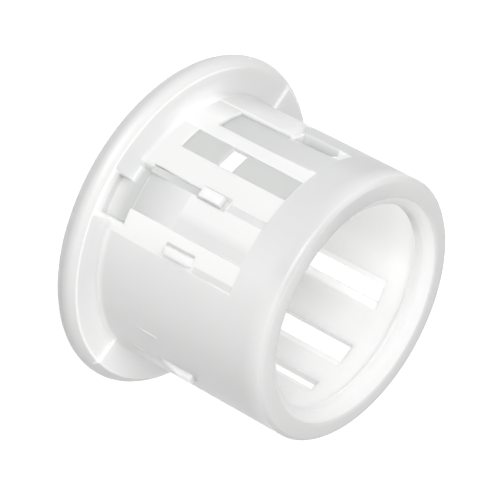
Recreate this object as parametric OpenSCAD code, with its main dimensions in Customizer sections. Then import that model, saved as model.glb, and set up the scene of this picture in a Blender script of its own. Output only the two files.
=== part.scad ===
// Snap-in panel bushing moulded in one piece: a round flange, a barrel with thin
// staves, ramps of staggered heights and small lugs, and a closed nose ring with
// an inner lip. The part stands on the front face of its flange, with the nose up.

/* [Flange] */
// Width of the flange, outwards from the barrel
flange_w = 3.3; // [2.8:0.1:5]
// Thickness of the flange
flange_t = 2.35; // [2.3:0.05:3.2]
// Radius of the rounded front edge of the flange
rim_front_r = 1.4; // [0.6:0.1:1.4]
// Radius of the rounded back edge of the flange
rim_back_r = 0.45; // [0.3:0.05:0.8]
// Radius of the rounded mouth of the bore
mouth_r = 1.2; // [0.6:0.1:1.4]
// Height of the raised half of the flange's back face
parting_step = 0.3; // [0.2:0.05:0.5]
// Depth of the scoop in the flange's back face
scoop_depth = 0.85; // [0.5:0.05:1]
// Width of the scoop, outwards from the barrel
scoop_w = 2.1; // [1.6:0.1:2.1]

/* [Barrel] */
// Outer diameter of the barrel
barrel_d = 25; // [20:0.1:32]
// Length of the barrel, from the flange's back face to the nose
barrel_len = 19; // [18.4:0.1:24]
// Thickness of the barrel's wall
wall_t = 1.6; // [1.5:0.05:2]
// Radius of the fillet between the barrel and the flange
root_r = 0.75; // [0.4:0.05:0.9]

/* [Nose] */
// Length of the closed ring at the nose
band_len = 4.7; // [4:0.1:5]
// Height of the lip inside the nose, inwards from the bore
lip_h = 1.15; // [0.7:0.05:1.8]
// Length of the lip along the bore
lip_len = 2; // [1.4:0.1:2.6]
// Radius of the nose's outer edge
nose_r = 0.7; // [0.4:0.05:1.1]
// Radius of the lip's edges
lip_r = 0.4; // [0.2:0.05:0.6]

/* [Staves and ramps] */
// Distance from the flange to the lowest collar
lock_first = 1.55; // [1.4:0.05:1.9]
// Step from one collar height to the next
lock_step = 0.87; // [0.6:0.01:1]
// Depth of the thin staves below the nose ring
stave_depth = 0.45; // [0.3:0.05:0.8]
// Depth of the ramps at their collars
ramp_depth = 0.3; // [0.2:0.05:0.6]
// Distance from the flange to the crest of the short ramp
crest_z = 6.4; // [5.4:0.1:6.6]
// Depth of the split panel below the stave that it lies in
panel_depth = 0.2; // [0.1:0.05:0.4]
// Thickness of the split panel
panel_t = 0.4; // [0.3:0.05:0.5]
// Distance from the flange to the gap that splits the panel
gap_z = 6.45; // [5.4:0.05:8]
// Width of the gap that splits the panel
gap_w = 1.75; // [1:0.05:2.5]
// Depth of the groove between the wide stave and the short ramp
groove_depth = 0.6; // [0.5:0.05:0.9]

/* [Tab] */
// Length of the tab that grows from the flange
tab_len = 8.9; // [7:0.1:9.6]
// Height of the tab above the barrel
tab_h = 0.35; // [0.2:0.05:0.5]
// Chamfer on the tab's tip
tab_chamfer = 0.6; // [0.3:0.05:0.8]
// Depth of the pocket past the tab
pocket_depth = 0.9; // [0.5:0.05:1.1]
// Length of the ramp at the pocket's end
pocket_ramp = 1; // [0.6:0.1:1.4]
// Distance from the pocket's end to the nose ring
pocket_gap = 0.5; // [0.3:0.05:0.8]

/* [Lugs] */
// Width of a lug, round the barrel
lug_w = 1; // [0.7:0.05:1.1]
// Length of a lug, along the barrel
lug_len = 2.6; // [1.8:0.1:3]
// Height of a lug above the barrel
lug_h = 0.45; // [0.3:0.05:0.6]
// Width of the groove round a lug
moat_w = 0.25; // [0.15:0.05:0.3]
// Depth of the groove round a lug
moat_depth = 0.45; // [0.2:0.05:0.6]
// Height and width of the fine witness lines on the plain side
line_w = 0.14; // [0.1:0.02:0.2]

/* [Far slots] */
// Width of a slot at the barrel's outside
slot_w = 1.5; // [1:0.1:2]
// Widening of a slot at the bore, on each side
slot_flare = 0.6; // [0.3:0.05:0.8]

/* [Hidden] */
$fn = 96;

// A cut reaches this far past the face that it opens
past = 0.5;
// Pieces that join reach this far into each other
sink = 0.2;
// A sloping cut starts this far outside the surface that it enters
skim = 0.03;
// Ledge that keeps one cut's end face clear of the next one's
ledge = 0.1;
// Cuts that meet side by side overlap by this angle, in degrees
lap = 0.5;

barrel_r = barrel_d / 2;
flange_r = barrel_r + flange_w;
bore_r = barrel_r - wall_t;
lip_bore_r = bore_r - lip_h;
nose_z = flange_t + barrel_len;
band_z = nose_z - band_len;
face_r = flange_r - rim_back_r;
tab_z = flange_t + tab_len;
pocket_end = band_z - pocket_gap;

// Angles round the barrel, in degrees, counted from +X
tab_span = [-188.5, -149];
pocket_span = [-167, -149.5];
long_ramp = [-147.4, -133 + lap];
staves = [[-133, -103], [-84, -72.5]];
panel_span = [-127, -115];
short_ramp = [-103 - lap, -84 + lap];
groove_span = [-102.2, -99.2];
sunk_collar = [-101, -76.5];
scoop_span = [-93, -77];
parting_span = [-16.5, 170];
far_slots = [42, 68.5, 102];

// Each lug's angle, and its start along the barrel from the flange
lugs = [[-101.1, 7.2], [-75.4, 6.8], [-20.5, 7], [55, 6.8], [85, 7.2]];
// Each witness line's angle, start and length along the barrel
lines = [[-20.5, 3.6, 3.2], [-36, 4, 2.8]];

// Degrees that a width takes up on the barrel
function degrees_of(width) = width / barrel_r * 180 / PI;

// Span of a given width about an angle
function span_about(angle, width) = [angle - degrees_of(width) / 2, angle + degrees_of(width) / 2];

// A disc of the half section, which rounds a corner
module round_corner(r, z, radius) {
    translate([r, z])
        circle(r = radius);
}

// Turns a section through part of a circle, from one angle to the other
module turned(span) {
    rotate([0, 0, span[0]])
        rotate_extrude(angle = span[1] - span[0])
            children();
}

// A block of the wall between two radii, two heights and two angles
module wall_block(span, r0, r1, z0, z1) {
    turned(span)
        translate([r0, z0])
            square([r1 - r0, z1 - z0]);
}

// Half section of the flange, with both edges of its rim rounded
module flange_section() {
    difference() {
        union() {
            translate([bore_r, 0])
                square([flange_r - rim_front_r - bore_r, flange_t]);
            translate([bore_r, rim_front_r])
                square([face_r - bore_r, flange_t - rim_front_r]);
            translate([bore_r, rim_front_r])
                square([flange_r - bore_r, flange_t - rim_front_r - rim_back_r]);
            round_corner(flange_r - rim_front_r, rim_front_r, rim_front_r);
            round_corner(face_r, flange_t - rim_back_r, rim_back_r);
        }
        difference() {
            translate([bore_r, 0])
                square(mouth_r);
            round_corner(bore_r + mouth_r, mouth_r, mouth_r);
        }
    }
}

// Half section of the barrel, with its root fillet and its rounded nose
module barrel_section() {
    translate([bore_r, flange_t - sink])
        square([barrel_r - bore_r, barrel_len + sink - nose_r]);
    translate([bore_r, flange_t])
        square([barrel_r - nose_r - bore_r, barrel_len]);
    round_corner(barrel_r - nose_r, nose_z - nose_r, nose_r);
    difference() {
        translate([barrel_r - sink, flange_t - sink])
            square(root_r + sink);
        round_corner(barrel_r + root_r, flange_t + root_r, root_r);
    }
}

// Half section of the lip inside the nose, with both its edges rounded
module lip_section() {
    translate([lip_bore_r + lip_r, nose_z - lip_len])
        square([bore_r - lip_bore_r - lip_r + sink, lip_len]);
    translate([lip_bore_r, nose_z - lip_len + lip_r])
        square([lip_r + sink, lip_len - 2 * lip_r]);
    round_corner(lip_bore_r + lip_r, nose_z - lip_r, lip_r);
    round_corner(lip_bore_r + lip_r, nose_z - lip_len + lip_r, lip_r);
}

// Cut with a sloping floor, from the barrel's surface at one height to a depth at another
module slope_cut(span, flush_z, deep_z, depth) {
    turned(span)
        polygon([
            [barrel_r + skim, flush_z],
            [barrel_r - depth, deep_z],
            [barrel_r + past, deep_z],
            [barrel_r + past, flush_z]
        ]);
}

// Thin panel that slopes with its stave: the cuts outside and behind it, and the gap across it
module panel_cut() {
    low = flange_t + lock_first + lock_step;
    gap = flange_t + gap_z;
    low_r = barrel_r - panel_depth;
    top_r = barrel_r - stave_depth - panel_depth;
    turned(panel_span)
        polygon([
            [low_r, low],
            [barrel_r + past, low],
            [barrel_r + past, band_z - ledge],
            [top_r, band_z - ledge]
        ]);
    turned(panel_span)
        polygon([
            [bore_r - past, low + ledge],
            [low_r - panel_t, low + ledge],
            [top_r - panel_t, band_z - 2 * ledge],
            [bore_r - past, band_z - 2 * ledge]
        ]);
    wall_block(panel_span, bore_r - past, barrel_r + past, gap, gap + gap_w);
}

// Groove between the wide stave and the short ramp
module groove_cut() {
    low = flange_t + lock_first + ledge;
    wall_block(groove_span, barrel_r - groove_depth, barrel_r + past, low, band_z - 2 * ledge);
}

// Pocket past the tab, with a ramped end towards the nose
module pocket_cut() {
    run_out = pocket_end + pocket_ramp * past / pocket_depth;
    turned(pocket_span)
        polygon([
            [barrel_r - pocket_depth, tab_z + ledge],
            [barrel_r + past, tab_z + ledge],
            [barrel_r + past, run_out],
            [barrel_r - pocket_depth, pocket_end - pocket_ramp]
        ]);
}

// Slot through the far wall that widens towards the bore
module far_slot(angle, collar) {
    half = slot_w / 2;
    flare_r = bore_r + slot_flare;
    rotate([0, 0, angle])
        translate([0, 0, flange_t + collar])
            linear_extrude(height = band_z - flange_t - collar)
                polygon([
                    [bore_r - past, -half - slot_flare],
                    [bore_r, -half - slot_flare],
                    [flare_r, -half],
                    [barrel_r + past, -half],
                    [barrel_r + past, half],
                    [flare_r, half],
                    [bore_r, half + slot_flare],
                    [bore_r - past, half + slot_flare]
                ]);
}

// Proud tab on the barrel, with a chamfered tip
module tab() {
    outer = barrel_r + tab_h;
    turned(tab_span)
        polygon([
            [barrel_r - sink, flange_t - sink],
            [outer, flange_t - sink],
            [outer, tab_z - tab_chamfer],
            [outer - tab_chamfer, tab_z],
            [barrel_r - sink, tab_z]
        ]);
}

// Groove round a lug
module lug_moat(angle, start) {
    low = flange_t + start - moat_w;
    span = span_about(angle, lug_w + 2 * moat_w);
    wall_block(span, barrel_r - moat_depth, barrel_r + past, low, low + lug_len + 2 * moat_w);
}

// Raised lug that stands in its groove
module lug(angle, start) {
    low = flange_t + start;
    wall_block(span_about(angle, lug_w), bore_r + sink, barrel_r + lug_h, low, low + lug_len);
}

// Fine raised line along the barrel
module witness_line(place) {
    low = flange_t + place[1];
    wall_block(span_about(place[0], line_w), barrel_r - sink, barrel_r + line_w, low, low + place[2]);
}

// Scooped relief in the flange's back face, and the sunk collar above it
module scoop() {
    scoop_r = scoop_w / 2;
    turned(scoop_span)
        translate([barrel_r + scoop_r, flange_t + scoop_r - scoop_depth])
            circle(r = scoop_r);
    collar_t = lock_first - sink + ledge;
    collar_w = moat_depth + root_r + past;
    turned(sunk_collar)
        translate([barrel_r - moat_depth, flange_t - ledge])
            square([collar_w, collar_t]);
}

// The whole moulding
module bushing() {
    long_collar = flange_t + lock_first + 2 * lock_step;
    short_collar = flange_t + lock_first;
    color("ivory")
        union() {
            difference() {
                union() {
                    rotate_extrude() {
                        flange_section();
                        barrel_section();
                        lip_section();
                    }
                    wall_block(parting_span, barrel_r - sink, face_r, flange_t - sink, flange_t + parting_step);
                    tab();
                }
                for (span = staves)
                    slope_cut(span, short_collar - sink, band_z, stave_depth);
                slope_cut(long_ramp, band_z + sink, long_collar, ramp_depth);
                slope_cut(short_ramp, flange_t + crest_z, short_collar, ramp_depth);
                panel_cut();
                groove_cut();
                pocket_cut();
                for (i = [0 : len(far_slots) - 1])
                    far_slot(far_slots[i], lock_first + i * lock_step);
                scoop();
                for (place = lugs)
                    lug_moat(place[0], place[1]);
            }
            for (place = lugs)
                lug(place[0], place[1]);
            for (place = lines)
                witness_line(place);
        }
}

bushing();
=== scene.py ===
import math

import bmesh
import bpy
from mathutils import Matrix, Vector


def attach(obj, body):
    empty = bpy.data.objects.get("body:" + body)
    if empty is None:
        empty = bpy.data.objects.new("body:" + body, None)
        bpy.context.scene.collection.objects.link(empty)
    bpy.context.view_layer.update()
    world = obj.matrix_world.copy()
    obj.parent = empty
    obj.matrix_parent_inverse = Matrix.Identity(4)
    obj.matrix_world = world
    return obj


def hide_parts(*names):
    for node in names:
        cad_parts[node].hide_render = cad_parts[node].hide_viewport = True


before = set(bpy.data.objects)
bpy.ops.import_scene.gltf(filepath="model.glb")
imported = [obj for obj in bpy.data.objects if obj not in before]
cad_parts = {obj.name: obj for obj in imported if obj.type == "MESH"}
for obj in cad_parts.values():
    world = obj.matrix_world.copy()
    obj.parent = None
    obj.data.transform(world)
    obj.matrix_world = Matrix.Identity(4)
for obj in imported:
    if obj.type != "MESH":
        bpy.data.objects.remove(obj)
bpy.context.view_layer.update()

MM = 0.001

# Sizes of the moulding, in millimetres
FLANGE_R = 15.8
FLANGE_T = 2.35
FRONT_R = 13.2
RIM_FRONT_R = 1.4
FACE_R = 15.0
FACE_RINGS = (14.85, 14.6, 14.2, 13.8, 13.4)
CREASE_TURN = 62.0
MOUTH_R = 1.2
PARTING_STEP = 0.3
BARREL_R = 12.5
BARREL_LEN = 19.0
BORE_R = 10.9
ROOT_R = 0.75
BAND_LEN = 4.7
NOSE_R = 0.85
NOSE_TURNS = (25.0, 60.0)
END_RINGS = (11.9, 11.2)
NOSE_START, NOSE_END = (math.radians(turn) for turn in NOSE_TURNS)
NOSE_Z = FLANGE_T + BARREL_LEN
NOSE_H = BARREL_LEN - NOSE_R * (math.sin(NOSE_END) - math.sin(NOSE_START))
BAND_H = BARREL_LEN - BAND_LEN

# The lip in the nose: its radii, and how far its bends lie from them and from the nose's end
LIP_FACE_R = 10.65
LIP_EDGE = 0.15
LIP_BORE_R = 9.75
LIP_DRAFT = 0.05
LIP_SLOPE = 0.6
LIP_STRAIGHT = 1.35
LIP_TURN = 1.5
LIP_LEN = 2.0
LIP_UNDERCUT = 0.4
LIP_ROOT = 0.15

# Heights above the flange's back face
COLLARS = (1.55, 2.42, 3.29)
CREST_H = 6.45
GAP_TOP = 8.2
TAB_TIP = 8.9
TAB_TIP_LINE = (7.9, 8.1)
POCKET_LOW = 9.2
POCKET_TOP = 12.8
BAR_TOP = 13.8
GROOVE_FULL = 4.4
GROOVE_LOW_END = 6.9
GROOVE_HIGH_START = 10.15
GREY_LOW = 9.8
PULL_START = 4.4
PLAIN_LEVELS = (4.4, 5.4, 10.35, 11.4, 15.6, 16.9)

# Angles round the barrel, in degrees
PARTING = (-191.0, -13.0)
TAB = (-188.5, -148.5)
TAB_RISE = (-168.0, -158.0)
TAB_SLANT_RISE = (-155.5, -165.0)
POCKET = (-157.0, TAB[1])
LONG_RAMP = (TAB[1], -134.0)
SHORT_RAMP = (-104.2, -84.0)
FIRST_STAVE = (LONG_RAMP[1], SHORT_RAMP[0])
PANEL = (-127.2, -116.0)
RECESS = (-132.0, PANEL[1])
GROOVE = (-103.6, -100.6)
SUNK_COLLAR = (-101.5, -77.0)
SCOOP = (-94.0, SUNK_COLLAR[1])
SECOND_STAVE = (SHORT_RAMP[1], -72.5)
GREY_STRIP = (-75.4, SECOND_STAVE[1])
SIDE_LUG = (-30.0, 0.0)
BY_GROOVE = (GROOVE[0] - 1.0, GROOVE[1] + 1.0)
BY_POCKET = (POCKET[0], POCKET[1] + 1.0)
TAB_SLANTED = (TAB[0] - 1.0, TAB[1])
SEAM = PARTING[0] + 360.0
WIDEST_COLUMN = 2.5

# Each slot of the far side: its two angles, the collar it starts from and how far its high side leans
FAR_SLOTS = (
    (44.0, 52.5, COLLARS[0], 3.0),
    (65.0, 75.5, COLLARS[1], 0.5),
    (97.5, 106.5, COLLARS[2], 0.0),
)
FLARE = 3.4
FLARE_DEPTH = 0.25

# How deep or high the forms on the barrel are
STAVE_DEPTH = 0.12
RAMP_DEPTH = 0.3
PANEL_DEPTH = 0.1
PANEL_T = 0.4
GROOVE_DEPTH = 0.22
GROOVE_HIGH_DEPTH = 0.08
POCKET_DEPTHS = (0.15, 0.95)
COLLAR_SINK = 0.45
TAB_H = 0.12
TAB_END_DEPTH = 0.12
TAB_SLANT = 1.75
SCOOP_DEPTH = 0.9
SCOOP_SPAN = (14.6, 12.9)

# The fillet at the flange, as a share of the full one:
# on the plain side, by the staves and under the first stave
ROOT_SHARES = (0.3, 0.5, 1.0)
ROOT_BY_STAVES = ((-160.0, -146.0), (-71.0, -74.0))
ROOT_FULL = (-115.0, -130.0)

# Half the width of a steep wall, and the width of the painted light line on its edge,
# in degrees and then in millimetres
WALL = 0.22
WALL_EDGE = 0.45
STEP = 0.05
STEP_EDGE = 0.1

# How much lower the wall has to be beside an edge for the edge to be painted light
EDGE_DROP = 0.1

# How close a point has to be to count as on a ring, and as within a span
ON_RING = 0.001
SLACK = 0.01

# How close two points have to be to become one: where the turned shape closes, and round an opening
CLOSING_WELD = 0.00001
OPENING_WELD = 0.001

# Radii between which a face belongs to the wall's outside, and under which it belongs to the bore
OUTSIDE = (BARREL_R - 0.3, BARREL_R + 0.1)
INSIDE_R = BORE_R + 0.1

# Edges that turn by more degrees than this are shaded as sharp
SHARP_TURN = 20.0

# Each lug: the angles and heights of its groove's outside and of its top,
# and which end slopes, towards the flange or the nose
LUGS = (
    ((-105.9, -104.9, -100.7, -99.7), (6.98, 7.3, 9.62, 10.15), "flange"),
    ((-79.2, -77.9, -74.5, -74.3), (6.37, 6.75, 9.32, 9.65), "nose"),
    ((-22.7, -22.5, -18.5, -18.3), (6.53, 8.9, 10.35, 10.41), "flange"),
    ((53.9, 54.85, 59.15, 60.1), (6.53, 6.85, 9.28, 9.72), "flange"),
    ((81.9, 82.85, 87.15, 88.1), (6.98, 7.3, 9.62, 10.05), "flange"),
)
LUG_H = 0.45
MOAT_DEPTH = 0.12
MOAT_SIDE = 0.2
MOAT_END = 0.06

# Fine raised lines on the plain side: the angle of each, and the heights between which it runs.
# The one before the side lug is painted light and glows with painted daylight
LINES = ((-36.0, 4.4, 6.98), (-20.5, 3.37, 6.6))
LINE_HALF = 0.35
LINE_H = 0.12

# Painted light and painted shade on the wall: 1 where it is painted lightest, 0 where plain, -1 where it
# is painted darkest.
# The painted shades of the lip, end face, nose and rim, and the end face's painted light line, are added
# to the tone under them
PAINTED_TONE = {
    "groove": -0.6,
    "high groove": -0.2,
    "tab tip": 0.4,
    "tab end": 0.2,
    "pocket bar": 1.0,
    "pocket floor": -0.8,
    "beside pocket": -0.75,
    "pocket edge": -0.3,
    "long ramp top": -0.45,
    "ramp foot": -0.8,
    "panel": -0.93,
    "sunk collar": -0.75,
    "crest": 0.4,
    "crest shade": -0.15,
    "stave by panel": 1.0,
    "first stave": 0.3,
    "second stave": 0.8,
    "grey strip": -0.1,
    "edge": 0.7,
    "lug": 1.0,
    "moat": -0.4,
    "line": 1.0,
    "bore": 1.0,
    "lip": 1.0,
    "lip shade": -1.5,
    "end face": 0.4,
    "end face shade": -0.5,
    "end face line": 0.6,
    "nose": 0.8,
    "nose shade": -0.4,
    "flange by staves": 0.8,
    "flange crease": 0.8,
    "plain root": 0.4,
    "rim": 0.6,
    "rim shade": -0.8,
}

# How much painted daylight glows from the wall as emission, standing in for daylight that comes through it
PAINTED_DAYLIGHT = {
    "by flange": 0.5,
    "line": 0.9,
    "moat": 0.3,
    "side lug": 0.8,
    "slot edge": 1.2,
    "pocket bar": 0.6,
    "pocket end": 0.9,
    "bore by nose": 0.5,
    "opened bore": 1.0,
    "lip": 0.5,
    "lip by tab": 0.8,
    "lip back": 1.5,
    "end face": 0.3,
    "end face brightest": 0.35,
    "end face line": 0.6,
    "flange": 0.4,
    "flange by staves": 0.3,
    "flange crease": 0.6,
    "scoop root": 0.1,
    "scoop": 1.6,
}

# Share of the lip's painted daylight that is lost on its inside, and what is lost besides in the painted
# shade
LIP_LOSS = 0.3
LIP_SHADE_LOSS = 0.4

# Where painted shade or painted daylight changes round the part: the amount added, and the angles where it
# starts and ends
BAND_SHADES = (
    (0.35, -85.0, -105.0),
    (0.1, -110.0, -125.0),
    (0.25, -142.0, -150.0),
    (0.2, -150.0, -165.0),
)
BORE_PAINTED_DAYLIGHTS = (
    (0.2, 50.0, 92.0),
    (1.4, 95.0, 120.0),
    (0.8, 130.0, 155.0),
    (0.6, 155.0, 170.0),
    (-3.0, 180.0, 220.0),
)
FLANGE_PAINTED_DAYLIGHTS = (
    (0.35, -165.0, -145.0),
    (0.95, -55.0, -20.0),
    (-1.1, 60.0, 100.0),
)

# Where one tone goes over into another: the start and the end, as angles, heights or radii
BACK_FADE = (-187.0, -172.0)
COLLAR_LIGHTENS = (-147.0, -137.0)
CREST_DARKENS = (-93.0, -89.5)
BY_FLANGE = (6.0, 1.0)
BORE_BY_NOSE = (13.5, 16.5)
POCKET_END = (POCKET_LOW + 0.8, POCKET_LOW)
SCOOP_STRIP = (13.2, 13.4)
FLANGE_INNER = (14.2, 12.7)
RIM_LIGHT = (1.8, 2.2)
RIM_SHADE = ((1.9, 1.2), (0.1, 0.6))
LIP_INSIDE = (NOSE_Z - LIP_SLOPE + 0.1, NOSE_Z - LIP_SLOPE - 0.1)

# Where a tone sets in: on the small fillet of the plain side, where the bore opens out, and under the lip
PLAIN_ROOT_R = BARREL_R + 0.3
OPENED_R = BORE_R + 0.05
LIP_BACK_Z = NOSE_Z - 1.4

# Where the end face gets most painted daylight, and how far round from there that starts and is full
END_BRIGHTEST = -65.0
END_BRIGHT_SPAN = (60.0, 20.0)

# Spans over which a tone comes and then goes again: the angles of its rise, then of its fall
LOW_SIDE = ((-50.0, -25.0), (60.0, 0.0))
LIP_SHADE = ((145.0, 165.0), (350.0, 300.0))
LIP_BY_TAB = ((80.0, 130.0), (350.0, 300.0))
END_SHADE = ((-95.0, -125.0), (-165.0, -140.0))
END_LINE = ((10.0, 50.0), (168.0, 135.0))
NOSE_LIGHT = ((-90.0, -40.0), (60.0, 0.0))
NOSE_SHADE = ((-135.0, -112.0), (-70.0, -90.0))
FLANGE_BY_STAVES = ((-155.0, -145.0), (-115.0, -130.0))
CREASE_LINE = ((-165.0, -150.0), (10.0, -10.0))

# Colours of the nylon, of its painted light and painted shade, and of the painted daylight that stands in
# for light coming through it and glows as emission
PLAIN_NYLON = ((0.78, 0.785, 0.78, 1), (0.82, 0.822, 0.818, 1))
PAINTED_LIGHT_NYLON = (0.93, 0.93, 0.925, 1)
PAINTED_SHADE_NYLON = (0.58, 0.59, 0.585, 1)
NO_LIGHT = (0, 0, 0, 1)
PAINTED_GLOW_COLOUR = (0.13, 0.13, 0.129, 1)

# The photograph's view, in metres and degrees, with the lens and its picture in millimetres
EYE = (-0.000336, -0.250933, 0.166229)
AIM = (-0.000336, 0.020167, -0.003786)
ROLL = 118.0583
LENS = 241.84
SENSOR = 36.0


def between(value, low, high):
    """Whether a value lies between two others."""
    return low < value < high


def part_way(value, start, end):
    """How far a value is from start to end, held between 0 and 1."""
    return min(1.0, max(0.0, (value - start) / (end - start)))


def swell(value, rise, fall):
    """How far a value is up a rise or not yet down a fall, whichever is less."""
    return min(part_way(value, *rise), part_way(value, *fall))


def summed(value, ramps):
    """The amounts of some ramps, each added as far as the value has come along it."""
    return sum(amount * part_way(value, start, end) for amount, start, end in ramps)


def mix(first, second, share):
    """A value that lies some share of the way from the first to the second."""
    return first + (second - first) * share


def fill_in(marks, widest):
    """The marks in order, with evenly spaced values added where two are further apart than that."""
    marks = sorted(set(marks))
    filled = []
    for low, high in zip(marks, marks[1:]):
        count = max(1, math.ceil((high - low) / widest))
        filled += [low + (high - low) * i / count for i in range(count)]
    return filled + [marks[-1]]


def columns():
    """Angles at which the moulding has a row of points along its length."""
    walls = {*TAB, POCKET[0], *LONG_RAMP, RECESS[0], *PANEL, *SHORT_RAMP}
    walls |= {*GROOVE, *SCOOP, *GREY_STRIP, PARTING[1]}
    marks = [PARTING[0] + WALL, SEAM - WALL]
    for low, high, collar, lean in FAR_SLOTS:
        walls |= {low, high}
        for edge in (low - FLARE, high + FLARE):
            marks += [edge - WALL, edge + WALL]
    for wall in walls:
        marks += [wall - WALL - WALL_EDGE, wall - WALL, wall + WALL, wall + WALL + WALL_EDGE]
    for (a0, a1, a2, a3), heights, slope in LUGS:
        marks += [a0, a0 + MOAT_SIDE, a1 - MOAT_SIDE, a1, a2, a2 + MOAT_SIDE, a3 - MOAT_SIDE, a3]
    for middle, low, high in LINES:
        marks += [middle - LINE_HALF, middle, middle + LINE_HALF]
    return fill_in([round(mark, 3) for mark in marks], WIDEST_COLUMN)


def levels():
    """Heights above the flange at which the barrel has a ring of points."""
    marks = [ROOT_R, *PLAIN_LEVELS, NOSE_H]
    for angles, (h0, h1, h2, h3), slope in LUGS:
        marks += [h0, h0 + MOAT_END, h1 - MOAT_END, h1, h2, h2 + MOAT_END, h3 - MOAT_END, h3]
    for step in (*COLLARS, CREST_H, GAP_TOP, TAB_TIP, POCKET_LOW, POCKET_TOP, BAR_TOP, BAND_H):
        marks += [step - STEP - STEP_EDGE, step - STEP, step + STEP, step + STEP + STEP_EDGE]
    return sorted({round(mark, 3) for mark in marks})


def arc(centre, radius, start, end, steps):
    """Points of the half section on an arc, with its angles counted from outwards to up."""
    turns = [math.radians(start + (end - start) * i / steps) for i in range(steps + 1)]
    return [(centre[0] + radius * math.cos(a), centre[1] + radius * math.sin(a)) for a in turns]


def rim_back(steps):
    """Points of the rim's back, part of an ellipse that ends in a crease on the flange's back face."""
    turns = [math.radians(CREASE_TURN * (i + 1) / steps) for i in range(steps)]
    deep = (FLANGE_R - FACE_R) / (1 - math.cos(turns[-1]))
    tall = (FLANGE_T - RIM_FRONT_R) / math.sin(turns[-1])
    return [(FLANGE_R - deep * (1 - math.cos(t)), RIM_FRONT_R + tall * math.sin(t)) for t in turns]


def lip_section():
    """Points of the lip, from the end face into the bore."""
    low = NOSE_Z - LIP_LEN
    return [
        (LIP_FACE_R, NOSE_Z),
        (LIP_FACE_R - LIP_EDGE, NOSE_Z - LIP_EDGE),
        (LIP_BORE_R + LIP_DRAFT, NOSE_Z - LIP_SLOPE),
        (LIP_BORE_R, NOSE_Z - LIP_STRAIGHT),
        (LIP_BORE_R, NOSE_Z - LIP_TURN),
        (LIP_BORE_R + LIP_UNDERCUT, low),
        (BORE_R - LIP_ROOT, low),
        (BORE_R, low - LIP_ROOT),
    ]


def half_section():
    """Radius and height of the half section's points, from the front face out and back by the bore."""
    rings = [FLANGE_T + level for level in levels()]
    nose = (BARREL_R - NOSE_R * math.cos(NOSE_START), FLANGE_T + NOSE_H - NOSE_R * math.sin(NOSE_START))
    section = [(FRONT_R, 0.0)]
    section += arc((FLANGE_R - RIM_FRONT_R, RIM_FRONT_R), RIM_FRONT_R, -90, 0, steps=12)
    section += rim_back(steps=8)
    section += [(r, FLANGE_T) for r in FACE_RINGS]
    section += arc((BARREL_R + ROOT_R, FLANGE_T + ROOT_R), ROOT_R, 270, 180, steps=7)
    section += [(BARREL_R, z) for z in rings[1:-1]]
    section += arc(nose, NOSE_R, *NOSE_TURNS, steps=8)
    section += [(r, NOSE_Z) for r in END_RINGS]
    section += lip_section()
    section += [(BORE_R, z) for z in reversed(rings[:-2])]
    section += arc((BORE_R + MOUTH_R, MOUTH_R), MOUTH_R, 180, 270, steps=8)
    return section


def lug_part(angle, height):
    """How far a place is up a lug, from 0 at its foot to 1 on its top, or -1 in its groove.

    Away from the lugs it is None.
    """
    for (a0, a1, a2, a3), (h0, h1, h2, h3), slope in LUGS:
        if not (between(angle, a0 + SLACK, a3 - SLACK) and between(height, h0 + SLACK, h3 - SLACK)):
            continue
        if not between(angle, a1 - SLACK, a2 + SLACK):
            return -1.0
        if height < h1 - SLACK:
            return part_way(height, h0, h1) if slope == "flange" else -1.0
        if height > h2 + SLACK:
            return part_way(height, h3, h2) if slope == "nose" else -1.0
        return 1.0
    return None


# Each form on the barrel's outside gives how far it stands out at a place and the painted light or shade
# there, or None away from the form


def groove_form(angle, height):
    """The groove, below and above the lug that sits in it."""
    if not between(angle, *GROOVE):
        return None
    if between(height, COLLARS[0], GROOVE_LOW_END):
        return -GROOVE_DEPTH * part_way(height, COLLARS[0], GROOVE_FULL), PAINTED_TONE["groove"]
    if between(height, GROOVE_HIGH_START, BAND_H):
        return -GROOVE_HIGH_DEPTH, PAINTED_TONE["high groove"]
    return None


def tab_form(angle, height):
    """The tab, which rises out of the barrel, and the drop at its tip."""
    if not between(angle, *TAB):
        return None
    rise = part_way(angle, *TAB_RISE)
    fade = part_way(angle, *BACK_FADE)
    if height < TAB_TIP:
        return TAB_H * rise, PAINTED_TONE["tab tip"] * fade * part_way(height, *TAB_TIP_LINE)
    if between(height, TAB_TIP, POCKET_LOW):
        return -TAB_END_DEPTH * rise, PAINTED_TONE["tab end"] * fade
    return None


def pocket_form(angle, height):
    """The pocket past the tab's tip, with a sloping bar at its end, painted light on the bar and painted
    shade on its floor and on the wall beside it.
    """
    if between(angle, *POCKET) and between(height, POCKET_LOW, BAR_TOP):
        deep = mix(*POCKET_DEPTHS, part_way(angle, LONG_RAMP[0], POCKET[0]))
        floor = part_way(height, BAR_TOP, POCKET_TOP)
        return -deep * floor, mix(PAINTED_TONE["pocket bar"], PAINTED_TONE["pocket floor"], floor)
    if between(angle, TAB[0], POCKET[0]) and between(height, POCKET_LOW, BAND_H):
        return 0.0, PAINTED_TONE["beside pocket"] * part_way(angle, *BACK_FADE)
    return None


def long_ramp_form(angle, height):
    """The long ramp, and the highest collar at its foot."""
    if not between(angle, *LONG_RAMP):
        return None
    if between(height, COLLARS[2], BAND_H):
        sunk = part_way(height, BAND_H, COLLARS[2])
        return -RAMP_DEPTH * sunk, mix(PAINTED_TONE["long ramp top"], PAINTED_TONE["ramp foot"], sunk)
    if height < COLLARS[2]:
        return 0.0, part_way(angle, *COLLAR_LIGHTENS)
    return None


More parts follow.
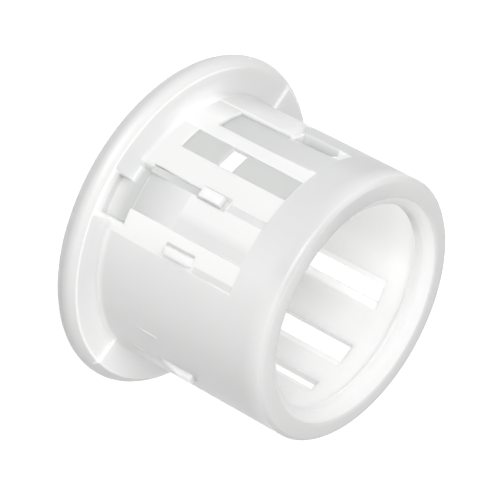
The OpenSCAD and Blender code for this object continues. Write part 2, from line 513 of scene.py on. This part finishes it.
def short_ramp_form(angle, height):
    """The short ramp, the crest above it and the sunk collar at its foot."""
    on_ramp = between(angle, *SHORT_RAMP)
    if on_ramp and between(height, COLLARS[0], CREST_H):
        sunk = part_way(height, CREST_H, COLLARS[0])
        return -RAMP_DEPTH * sunk, PAINTED_TONE["ramp foot"] * sunk
    if on_ramp and between(height, CREST_H, BAND_H):
        return 0.0, mix(PAINTED_TONE["crest"], PAINTED_TONE["crest shade"], part_way(angle, *CREST_DARKENS))
    if between(angle, *SUNK_COLLAR) and height < COLLARS[0]:
        return -COLLAR_SINK, PAINTED_TONE["sunk collar"]
    return None


def stave_form(angle, height):
    """The two staves, with the thin panel in the first and a grey strip along the second."""
    if not height < BAND_H:
        return None
    out = -STAVE_DEPTH * part_way(height, COLLARS[0], BAND_H)
    if between(angle, *PANEL) and height > COLLARS[1]:
        return out - PANEL_DEPTH, PAINTED_TONE["panel"]
    if between(angle, FIRST_STAVE[0], PANEL[0]):
        return out, PAINTED_TONE["stave by panel"]
    if between(angle, *GREY_STRIP) and height > GREY_LOW:
        return out, PAINTED_TONE["grey strip"]
    if between(angle, *FIRST_STAVE):
        return out, PAINTED_TONE["first stave"]
    if between(angle, *SECOND_STAVE):
        return out, PAINTED_TONE["second stave"]
    return None


def band_form(angle, height):
    """The plain band by the nose, which is shaded on the side of the tab."""
    if height > BAND_H:
        return 0.0, -part_way(angle, *BACK_FADE) * summed(angle, BAND_SHADES)
    return None


FORMS = (groove_form, tab_form, pocket_form, long_ramp_form, short_ramp_form, stave_form, band_form)


def ground(angle, height):
    """How far the barrel's outside stands out, without its lugs, and how light its wall is painted."""
    for form in FORMS:
        found = form(angle, height)
        if found is not None:
            return found
    return 0.0, 0.0


def on_edge(angle, height):
    """Whether the barrel's outside drops off beside a place on it, other than at the groove."""
    if between(angle, *BY_GROOVE):
        return False
    lowest = ground(angle, height)[0] - EDGE_DROP
    beside = [(angle + side * 2 * WALL, height) for side in (-1, 1)]
    beside += [(angle, height + side * 2 * STEP) for side in (-1, 1)]
    return any(ground(*place)[0] < lowest for place in beside)


def root_share(angle):
    """Size of the fillet at the flange, against the full one."""
    plain, by_staves, full = ROOT_SHARES
    broad = swell(angle, *ROOT_BY_STAVES)
    share = mix(plain, by_staves, broad)
    return share + (full - by_staves) * min(broad, part_way(angle, *ROOT_FULL))


def tab_pull(angle, height):
    """How far the tab's slanting tip draws the rings beside it towards the flange."""
    if not between(angle, *TAB_SLANTED):
        return 0.0
    pull = TAB_SLANT * part_way(angle, *TAB_SLANT_RISE)
    if height < TAB_TIP:
        return pull * part_way(height, PULL_START, TAB_TIP)
    return pull * part_way(height, POCKET_TOP, TAB_TIP)


def fine_line(angle, height):
    """Height of the fine raised lines on the plain side."""
    for middle, low, high in LINES:
        if abs(angle - middle) < LINE_HALF / 2 and between(height, low, high):
            return LINE_H
    return 0.0


def flare(angle, height):
    """How far the bore opens out beside the far slots, on both sides of the one on the highest collar."""
    for low, high, collar, lean in FAR_SLOTS:
        if not between(height, collar, BAND_H):
            continue
        if between(angle, low - FLARE, low + 2 * WALL):
            return FLARE_DEPTH * part_way(angle, low - FLARE, low)
        if collar == COLLARS[2] and between(angle, high - 2 * WALL, high + FLARE):
            return FLARE_DEPTH * part_way(angle, high + FLARE, high)
    return 0.0


def slot_lean(angle, height):
    """How far the high side of a far slot leans over its opening in the bore, in degrees."""
    for low, high, collar, lean in FAR_SLOTS:
        if between(angle, low, high) and between(height, collar, BAND_H):
            return lean * part_way(angle, low + WALL, high - WALL)
    return 0.0


def barrel_painted_daylight(angle, height, raised, line):
    """How much painted daylight glows from the barrel's outside.

    It depends on how far up a lug the place is, and on the height of a fine line there.
    """
    day = PAINTED_DAYLIGHT["by flange"] * part_way(height, *BY_FLANGE) * swell(angle, *LOW_SIDE)
    if line > 0 and angle < SIDE_LUG[0]:
        day += PAINTED_DAYLIGHT["line"]
    if raised == -1.0:
        day += PAINTED_DAYLIGHT["moat"]
    elif raised is not None and between(angle, *SIDE_LUG):
        day += PAINTED_DAYLIGHT["side lug"] * raised
    for low, high, collar, lean in FAR_SLOTS:
        if between(angle, high - 2 * WALL, high) and between(height, collar, BAND_H):
            day = PAINTED_DAYLIGHT["slot edge"]
    if between(angle, *POCKET) and between(height, POCKET_TOP + STEP, BAND_H):
        day += PAINTED_DAYLIGHT["pocket bar"] * part_way(height, BAND_H, BAR_TOP)
    elif between(angle, *BY_POCKET) and between(height, TAB_TIP, POCKET_TOP):
        day += PAINTED_DAYLIGHT["pocket end"] * part_way(height, *POCKET_END)
    return day


def barrel_point(angle, radius, z):
    """Radius, height, painted lightness and painted daylight of a point of the barrel's outside."""
    height = z - FLANGE_T
    out, light = ground(angle, height)
    if on_edge(angle, height):
        by_pocket = between(angle, *TAB) and between(height, TAB_TIP, POCKET_TOP)
        light = PAINTED_TONE["pocket edge"] if by_pocket else PAINTED_TONE["edge"]
    raised = lug_part(angle, height)
    if raised is not None:
        out += (LUG_H - out) * raised if raised > 0 else -MOAT_DEPTH
        light = PAINTED_TONE["lug"] if raised > 0 else PAINTED_TONE["moat"]
    line = fine_line(angle, height)
    if line > 0 and angle < SIDE_LUG[0]:
        light = PAINTED_TONE["line"]
    day = barrel_painted_daylight(angle, height, raised, line)
    return radius + out + line, z - tab_pull(angle, height), light, day


def bore_point(angle, radius, z):
    """Angle, radius, painted lightness and painted daylight of a point of the bore."""
    height = z - FLANGE_T
    radius += flare(angle, height)
    if between(angle, *RECESS) and between(height, COLLARS[1], BAND_H):
        radius = BARREL_R + ground(angle, height)[0] - PANEL_T
    by_nose = part_way(height, *BORE_BY_NOSE)
    day = summed(angle % 360, BORE_PAINTED_DAYLIGHTS) + PAINTED_DAYLIGHT["bore by nose"] * by_nose
    if radius > OPENED_R:
        day += PAINTED_DAYLIGHT["opened bore"]
    return angle - slot_lean(angle, height), radius, PAINTED_TONE["bore"], day


def lip_paint(angle, z):
    """Painted lightness and painted daylight of the lip, which is painted in shade inside on the side of
    the tab and staves.
    """
    turn = angle % 360
    shade = swell(turn, *LIP_SHADE)
    inside = part_way(z, *LIP_INSIDE)
    light = PAINTED_TONE["lip"] + PAINTED_TONE["lip shade"] * shade * inside
    if z < LIP_BACK_Z:
        return light, PAINTED_DAYLIGHT["lip back"] * (1.0 - shade)
    day = PAINTED_DAYLIGHT["lip"] + PAINTED_DAYLIGHT["lip by tab"] * swell(turn, *LIP_BY_TAB)
    return light, day * (1.0 - (LIP_LOSS + LIP_SHADE_LOSS * shade) * inside)


def end_face_paint(angle, radius):
    """Painted lightness and painted daylight of the end face, with a painted light line along its inner
    edge on the far side.
    """
    light = PAINTED_TONE["end face"] + PAINTED_TONE["end face shade"] * swell(angle, *END_SHADE)
    bright = part_way(abs(angle - END_BRIGHTEST), *END_BRIGHT_SPAN)
    day = PAINTED_DAYLIGHT["end face"] + PAINTED_DAYLIGHT["end face brightest"] * bright
    if radius < LIP_FACE_R + SLACK:
        line = swell(angle, *END_LINE)
        light += PAINTED_TONE["end face line"] * line
        day += PAINTED_DAYLIGHT["end face line"] * line
    return light, day


def nose_paint(angle):
    """Painted lightness of the nose's rounding."""
    return PAINTED_TONE["nose"] * swell(angle, *NOSE_LIGHT) + PAINTED_TONE["nose shade"] * swell(angle, *NOSE_SHADE)


def flange_paint(angle, radius):
    """Painted lightness and painted daylight of the flange's back, with its crease, its root and its
    scoop.
    """
    near = part_way(radius, *FLANGE_INNER) * swell(angle, *FLANGE_BY_STAVES)
    light = PAINTED_TONE["flange by staves"] * near
    day = PAINTED_DAYLIGHT["flange"] + summed(angle, FLANGE_PAINTED_DAYLIGHTS) + PAINTED_DAYLIGHT["flange by staves"] * near
    if abs(radius - FACE_R) < SLACK:
        line = swell(angle, *CREASE_LINE)
        return PAINTED_TONE["flange crease"] * line, day + PAINTED_DAYLIGHT["flange crease"] * line
    if radius < PLAIN_ROOT_R and between(angle, SECOND_STAVE[1], PARTING[1]):
        return PAINTED_TONE["plain root"], day
    if between(angle, *SCOOP):
        strip = part_way(radius, *SCOOP_STRIP)
        return strip, PAINTED_DAYLIGHT["scoop root"] + PAINTED_DAYLIGHT["scoop"] * strip
    return light, day


def flange_point(angle, radius, z):
    """Radius and height of a point of the flange's back, with its fillet, scoop and sunk collar."""
    if radius < BARREL_R + ROOT_R + SLACK:
        share = root_share(angle)
        radius = mix(BARREL_R, radius, share)
        z = mix(FLANGE_T, z, share)
    if between(angle, *SCOOP):
        z = min(z, FLANGE_T) - SCOOP_DEPTH * part_way(radius, *SCOOP_SPAN)
    if between(angle, *SUNK_COLLAR):
        radius -= COLLAR_SINK * part_way(radius, BARREL_R + ROOT_R, BARREL_R)
    return radius, z


def rim_paint(z):
    """Painted lightness of the rim: painted light by its crease, painted shade round its middle."""
    back, front = RIM_SHADE
    shade = part_way(z, *back) * part_way(z, *front)
    return PAINTED_TONE["rim"] * part_way(z, *RIM_LIGHT) + PAINTED_TONE["rim shade"] * shade


def dressed(angle, radius, z):
    """Angle, radius and height to which a point of the turned shape goes, its painted lightness and
    painted daylight.
    """
    height = z - FLANGE_T
    light = 0.0
    day = 0.0
    if abs(radius - BARREL_R) < ON_RING and between(height, ROOT_R - SLACK, NOSE_H - SLACK):
        radius, z, light, day = barrel_point(angle, radius, z)
    elif abs(radius - BORE_R) < ON_RING:
        angle, radius, light, day = bore_point(angle, radius, z)
    elif radius < LIP_FACE_R - SLACK and z > NOSE_Z - LIP_LEN:
        light, day = lip_paint(angle, z)
    elif z > NOSE_Z - SLACK:
        light, day = end_face_paint(angle, radius)
    elif radius > LIP_FACE_R and height > NOSE_H - SLACK:
        light = nose_paint(angle)
    elif radius > BARREL_R and between(height, -SLACK, ROOT_R):
        light, day = flange_paint(angle, radius)
        radius, z = flange_point(angle, radius, z)
    elif radius > FACE_R:
        light = rim_paint(z)
    at_back = between(height, RIM_FRONT_R - FLANGE_T - SLACK, ROOT_R)
    if radius > BARREL_R and at_back and not between(angle, *PARTING):
        z += PARTING_STEP * part_way(radius, FLANGE_R, FACE_R)
    return angle, radius, z, light, day


def point_at(angle, radius, z):
    """The point at an angle, a radius and a height."""
    turn = math.radians(angle)
    return Vector((radius * math.cos(turn), radius * math.sin(turn), z))


def cut_through(bm, window, heights):
    """Opens the wall over a span of angles and heights, and joins outside and bore round the opening."""
    doomed = []
    for face in bm.faces:
        middle = face.calc_center_median()
        radius = middle.xy.length
        angle = math.degrees(math.atan2(middle.y, middle.x))
        if angle > SEAM:
            angle -= 360
        in_wall = between(radius, *OUTSIDE) or radius < INSIDE_R
        in_window = between(angle, window[0] + WALL / 2, window[1] - WALL / 2)
        height = middle.z - FLANGE_T
        if in_wall and in_window and between(height, heights[0] + STEP / 2, heights[1] - STEP / 2):
            doomed.append(face)
    bmesh.ops.delete(bm, geom=doomed, context="FACES")
    rim = [edge for edge in bm.edges if edge.is_boundary]
    outer = [edge for edge in rim if edge.verts[0].co.xy.length > OUTSIDE[0]]
    inner = list({vert for edge in rim if edge not in outer for vert in edge.verts})
    made = bmesh.ops.extrude_edge_only(bm, edges=outer)["geom"]
    fresh = [part for part in made if isinstance(part, bmesh.types.BMVert)]
    for vert in fresh:
        shrink = BORE_R / vert.co.xy.length
        vert.co = (vert.co.x * shrink, vert.co.y * shrink, vert.co.z)
    near = bmesh.ops.find_doubles(bm, verts=fresh + inner, keep_verts=inner, dist=OPENING_WELD)
    bmesh.ops.weld_verts(bm, targetmap=near["targetmap"])


def turned(bm):
    """Turns the half section full circle, and moves its copies to the angles of the columns.

    Gives the angle, radius and height of each point.
    """
    section = [bm.verts.new((r, 0, z)) for r, z in half_section()]
    outline = [bm.edges.new((a, b)) for a, b in zip(section, section[1:] + section[:1])]
    angles = columns()
    bmesh.ops.spin(
        bm,
        geom=section + outline,
        cent=(0, 0, 0),
        axis=(0, 0, 1),
        angle=2 * math.pi,
        steps=len(angles),
        use_merge=True,
    )
    bmesh.ops.remove_doubles(bm, verts=bm.verts, dist=CLOSING_WELD)
    places = {}
    for vert in bm.verts:
        column = round(math.atan2(vert.co.y, vert.co.x) / (2 * math.pi) * len(angles))
        places[vert] = (angles[column % len(angles)], math.hypot(vert.co.x, vert.co.y), vert.co.z)
        vert.co = point_at(*places[vert])
    return places


def moulding():
    """The bushing as one mesh: a half section turned full circle, then opened, sunk and raised."""
    bm = bmesh.new()
    # Per point: painted light and painted shade (lightness), and a painted daylight glow (through)
    lightness = bm.verts.layers.float.new("lightness")
    through = bm.verts.layers.float.new("through")
    places = turned(bm)
    cut_through(bm, PANEL, (CREST_H, GAP_TOP))
    for low, high, collar, lean in FAR_SLOTS:
        cut_through(bm, (low, high), (collar, BAND_H))
    for vert, place in places.items():
        if vert.is_valid:
            angle, radius, z, vert[lightness], vert[through] = dressed(*place)
            vert.co = point_at(angle, radius, z)
    bmesh.ops.recalc_face_normals(bm, faces=bm.faces)
    for edge in bm.edges:
        edge.smooth = edge.calc_face_angle(0) < math.radians(SHARP_TURN)
    for face in bm.faces:
        face.smooth = True
    bmesh.ops.scale(bm, vec=(MM, MM, MM), verts=bm.verts)
    mesh = bpy.data.meshes.new("moulded_bushing")
    bm.to_mesh(mesh)
    bm.free()
    piece = bpy.data.objects.new("moulded_bushing", mesh)
    bpy.context.scene.collection.objects.link(piece)
    shading = piece.modifiers.new("Flat faces stay flat", "WEIGHTED_NORMAL")
    shading.keep_sharp = True
    return piece


class Value:
    """A number that a node gives, with the usual arithmetic as Math nodes."""

    def __init__(self, paint, socket):
        self.paint = paint
        self.socket = socket

    def maths(self, operation, first, second):
        made = self.paint.node("ShaderNodeMath", {"operation": operation}, {0: first, 1: second})
        return Value(self.paint, made.outputs[0])

    def __add__(self, other):
        return self.maths("ADD", self, other)

    def __radd__(self, other):
        return self.maths("ADD", other, self)

    def __sub__(self, other):
        return self.maths("SUBTRACT", self, other)

    def __rsub__(self, other):
        return self.maths("SUBTRACT", other, self)

    def __mul__(self, other):
        return self.maths("MULTIPLY", self, other)

    def __rmul__(self, other):
        return self.maths("MULTIPLY", other, self)


class Paint:
    """A material or world under construction."""

    def __init__(self, owner):
        owner.use_nodes = True
        self.tree = owner.node_tree
        self.tree.nodes.clear()

    def node(self, kind, settings=None, inputs=None):
        """Adds any node: its settings first, then the values or links of its sockets."""
        made = self.tree.nodes.new(kind)
        for name, value in (settings or {}).items():
            setattr(made, name, value)
        for name, value in (inputs or {}).items():
            if isinstance(value, Value):
                self.tree.links.new(value.socket, made.inputs[name])
            elif isinstance(value, bpy.types.NodeSocket):
                self.tree.links.new(value, made.inputs[name])
            else:
                made.inputs[name].default_value = value
        return made

    def value(self, kind, output, settings=None, inputs=None):
        """A number from one output of a new node."""
        return Value(self, self.node(kind, settings, inputs).outputs[output])

    def noise(self, where, scale, detail):
        sockets = {"Vector": where, "Scale": scale, "Detail": detail, "Roughness": 0.5}
        return self.value("ShaderNodeTexNoise", "Fac", {}, sockets)

    def attribute(self, name):
        return self.value("ShaderNodeAttribute", "Fac", {"attribute_name": name})

    def held(self, value):
        """A value held between 0 and 1."""
        return self.value("ShaderNodeClamp", 0, {}, {"Value": value})

    def blend(self, factor, first, second):
        """A colour between two others, or past the second where the factor is over 1."""
        settings = {"data_type": "RGBA", "clamp_factor": False}
        return self.node("ShaderNodeMix", settings, {0: factor, 6: first, 7: second}).outputs[2]

    def finish(self, kind, shader):
        """Joins a shader to the output."""
        self.node(kind, {}, {"Surface": shader.outputs[0]})


def nylon():
    """Natural moulded nylon: translucent, faintly cloudy and softly glossy, with painted light and painted
    shade in its colour and painted daylight as its emission.
    """
    material = bpy.data.materials.new("natural_nylon")
    paint = Paint(material)
    where = paint.node("ShaderNodeTexCoord").outputs["Object"]
    cloud = paint.noise(where, 180.0, 3.0)
    grain = paint.noise(where, 1500.0, 2.0)
    lightness = paint.attribute("lightness")
    through = paint.attribute("through")
    # Painted light blends the colour towards a lighter nylon, painted shade towards a darker one
    painted_light_colour = paint.blend(paint.held(lightness), paint.blend(cloud, *PLAIN_NYLON), PAINTED_LIGHT_NYLON)
    colour = paint.blend(paint.held(0 - lightness), painted_light_colour, PAINTED_SHADE_NYLON)
    ripple = paint.node("ShaderNodeBump", {}, {"Strength": 0.12, "Distance": 0.00006, "Height": grain})
    surface = paint.node(
        "ShaderNodeBsdfPrincipled",
        {"subsurface_method": "RANDOM_WALK"},
        {
            "Base Color": colour,
            "Roughness": 0.34 + 0.1 * cloud,
            "IOR": 1.53,
            "Subsurface Weight": 1.0,
            "Subsurface Radius": (1.0, 1.0, 0.95),
            "Subsurface Scale": 0.001,
            "Normal": ripple.outputs[0],
            # The painted daylight glows as emission
            "Emission Color": paint.blend(through, NO_LIGHT, PAINTED_GLOW_COLOUR),
            "Emission Strength": 1.0,
        },
    )
    paint.finish("ShaderNodeOutputMaterial", surface)
    return material


def pale_floor():
    """White floor that shows as white to the camera but keeps the part's shadow."""
    material = bpy.data.materials.new("white_floor")
    paint = Paint(material)
    path = paint.node("ShaderNodeLightPath")
    rays = ("Is Camera Ray", "Is Glossy Ray", "Is Transmission Ray")
    camera, glossy, clear = (Value(paint, path.outputs[ray]) for ray in rays)
    seen = camera + glossy + clear
    matt = paint.node("ShaderNodeBsdfDiffuse", {}, {"Color": (0.85, 0.85, 0.85, 1)})
    lift = paint.node("ShaderNodeEmission", {}, {"Color": (1, 1, 1, 1), "Strength": 0.82 * seen})
    both = paint.node("ShaderNodeAddShader", {}, {0: matt.outputs[0], 1: lift.outputs[0]})
    paint.finish("ShaderNodeOutputMaterial", both)
    return material


def white_world():
    """Even white surroundings."""
    world = bpy.data.worlds.new("white_tent")
    paint = Paint(world)
    sky = paint.node("ShaderNodeBackground", {}, {"Color": (1, 1, 1, 1), "Strength": 0.44})
    paint.finish("ShaderNodeOutputWorld", sky)
    bpy.context.scene.world = world


def facing(place, aim):
    """The place and turn of a lamp or camera that looks from one point to another."""
    turn = (Vector(aim) - Vector(place)).to_track_quat("-Z", "Y")
    return Matrix.Translation(place) @ turn.to_matrix().to_4x4()


def soft_box(name, place, aim, size, power):
    """A square lamp that faces a point."""
    lamp = bpy.data.lights.new(name, "AREA")
    lamp.size = size
    lamp.energy = power
    box = bpy.data.objects.new(name, lamp)
    box.matrix_world = facing(place, aim)
    bpy.context.scene.collection.objects.link(box)


def lay_floor():
    """A plain floor, wider than any view of the part."""
    bm = bmesh.new()
    bmesh.ops.create_grid(bm, x_segments=1, y_segments=1, size=3.0)
    mesh = bpy.data.meshes.new("floor")
    bm.to_mesh(mesh)
    bm.free()
    floor = bpy.data.objects.new("floor", mesh)
    bpy.context.scene.collection.objects.link(floor)
    mesh.materials.append(pale_floor())


def set_camera():
    """The photograph's view: from the staves' side, above the nose, with the camera rolled over."""
    camera = bpy.data.cameras.new("camera")
    camera.sensor_width = SENSOR
    camera.lens = LENS
    camera.clip_start = 0.01
    view = bpy.data.objects.new("camera", camera)
    view.matrix_world = facing(EYE, AIM) @ Matrix.Rotation(math.radians(ROLL), 4, "Z")
    bpy.context.scene.collection.objects.link(view)
    bpy.context.scene.camera = view


bushing = moulding()
bushing.data.materials.append(nylon())
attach(bushing, "root")
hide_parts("bushing")

lay_floor()
white_world()
soft_box("key", place=(-0.125, -0.40, 0.28), aim=(0, 0, 0.010), size=0.25, power=1.55)
set_camera()
bpy.context.scene.view_settings.view_transform = "Standard"
